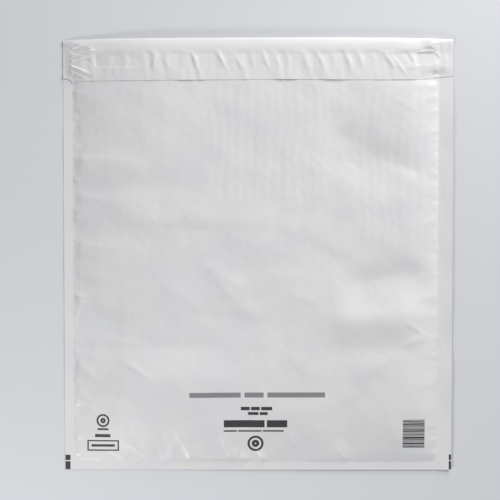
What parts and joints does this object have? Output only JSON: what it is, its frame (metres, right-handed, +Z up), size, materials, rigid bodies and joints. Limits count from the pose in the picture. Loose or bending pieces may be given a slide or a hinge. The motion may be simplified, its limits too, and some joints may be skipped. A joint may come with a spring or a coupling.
{
  "type": "padded envelope",
  "caption": "Flat white film envelope with a bubble lining, welded side and bottom seals and a flap folded over its mouth on a peel-off strip.",
  "frame": {"origin": "on the surface that the envelope lies on, under the middle of its outline", "axes": "+X across the front from its left side seal to its right one, +Y from the bottom seal to the top fold, +Z up out of the front panel, which carries the flap"},
  "size_m": [0.3726, 0.415, 0.0134],
  "materials": {
    "white_film": "satin",
    "clear_bubble": "gloss",
    "peel_strip": "gloss",
    "glue": "satin"
  },
  "bodies": {
    "root": {"outer_film": "white_film", "bubble_lining": "clear_bubble", "release_strip": "peel_strip", "glue_band": "glue"}
  },
  "joints": []
}
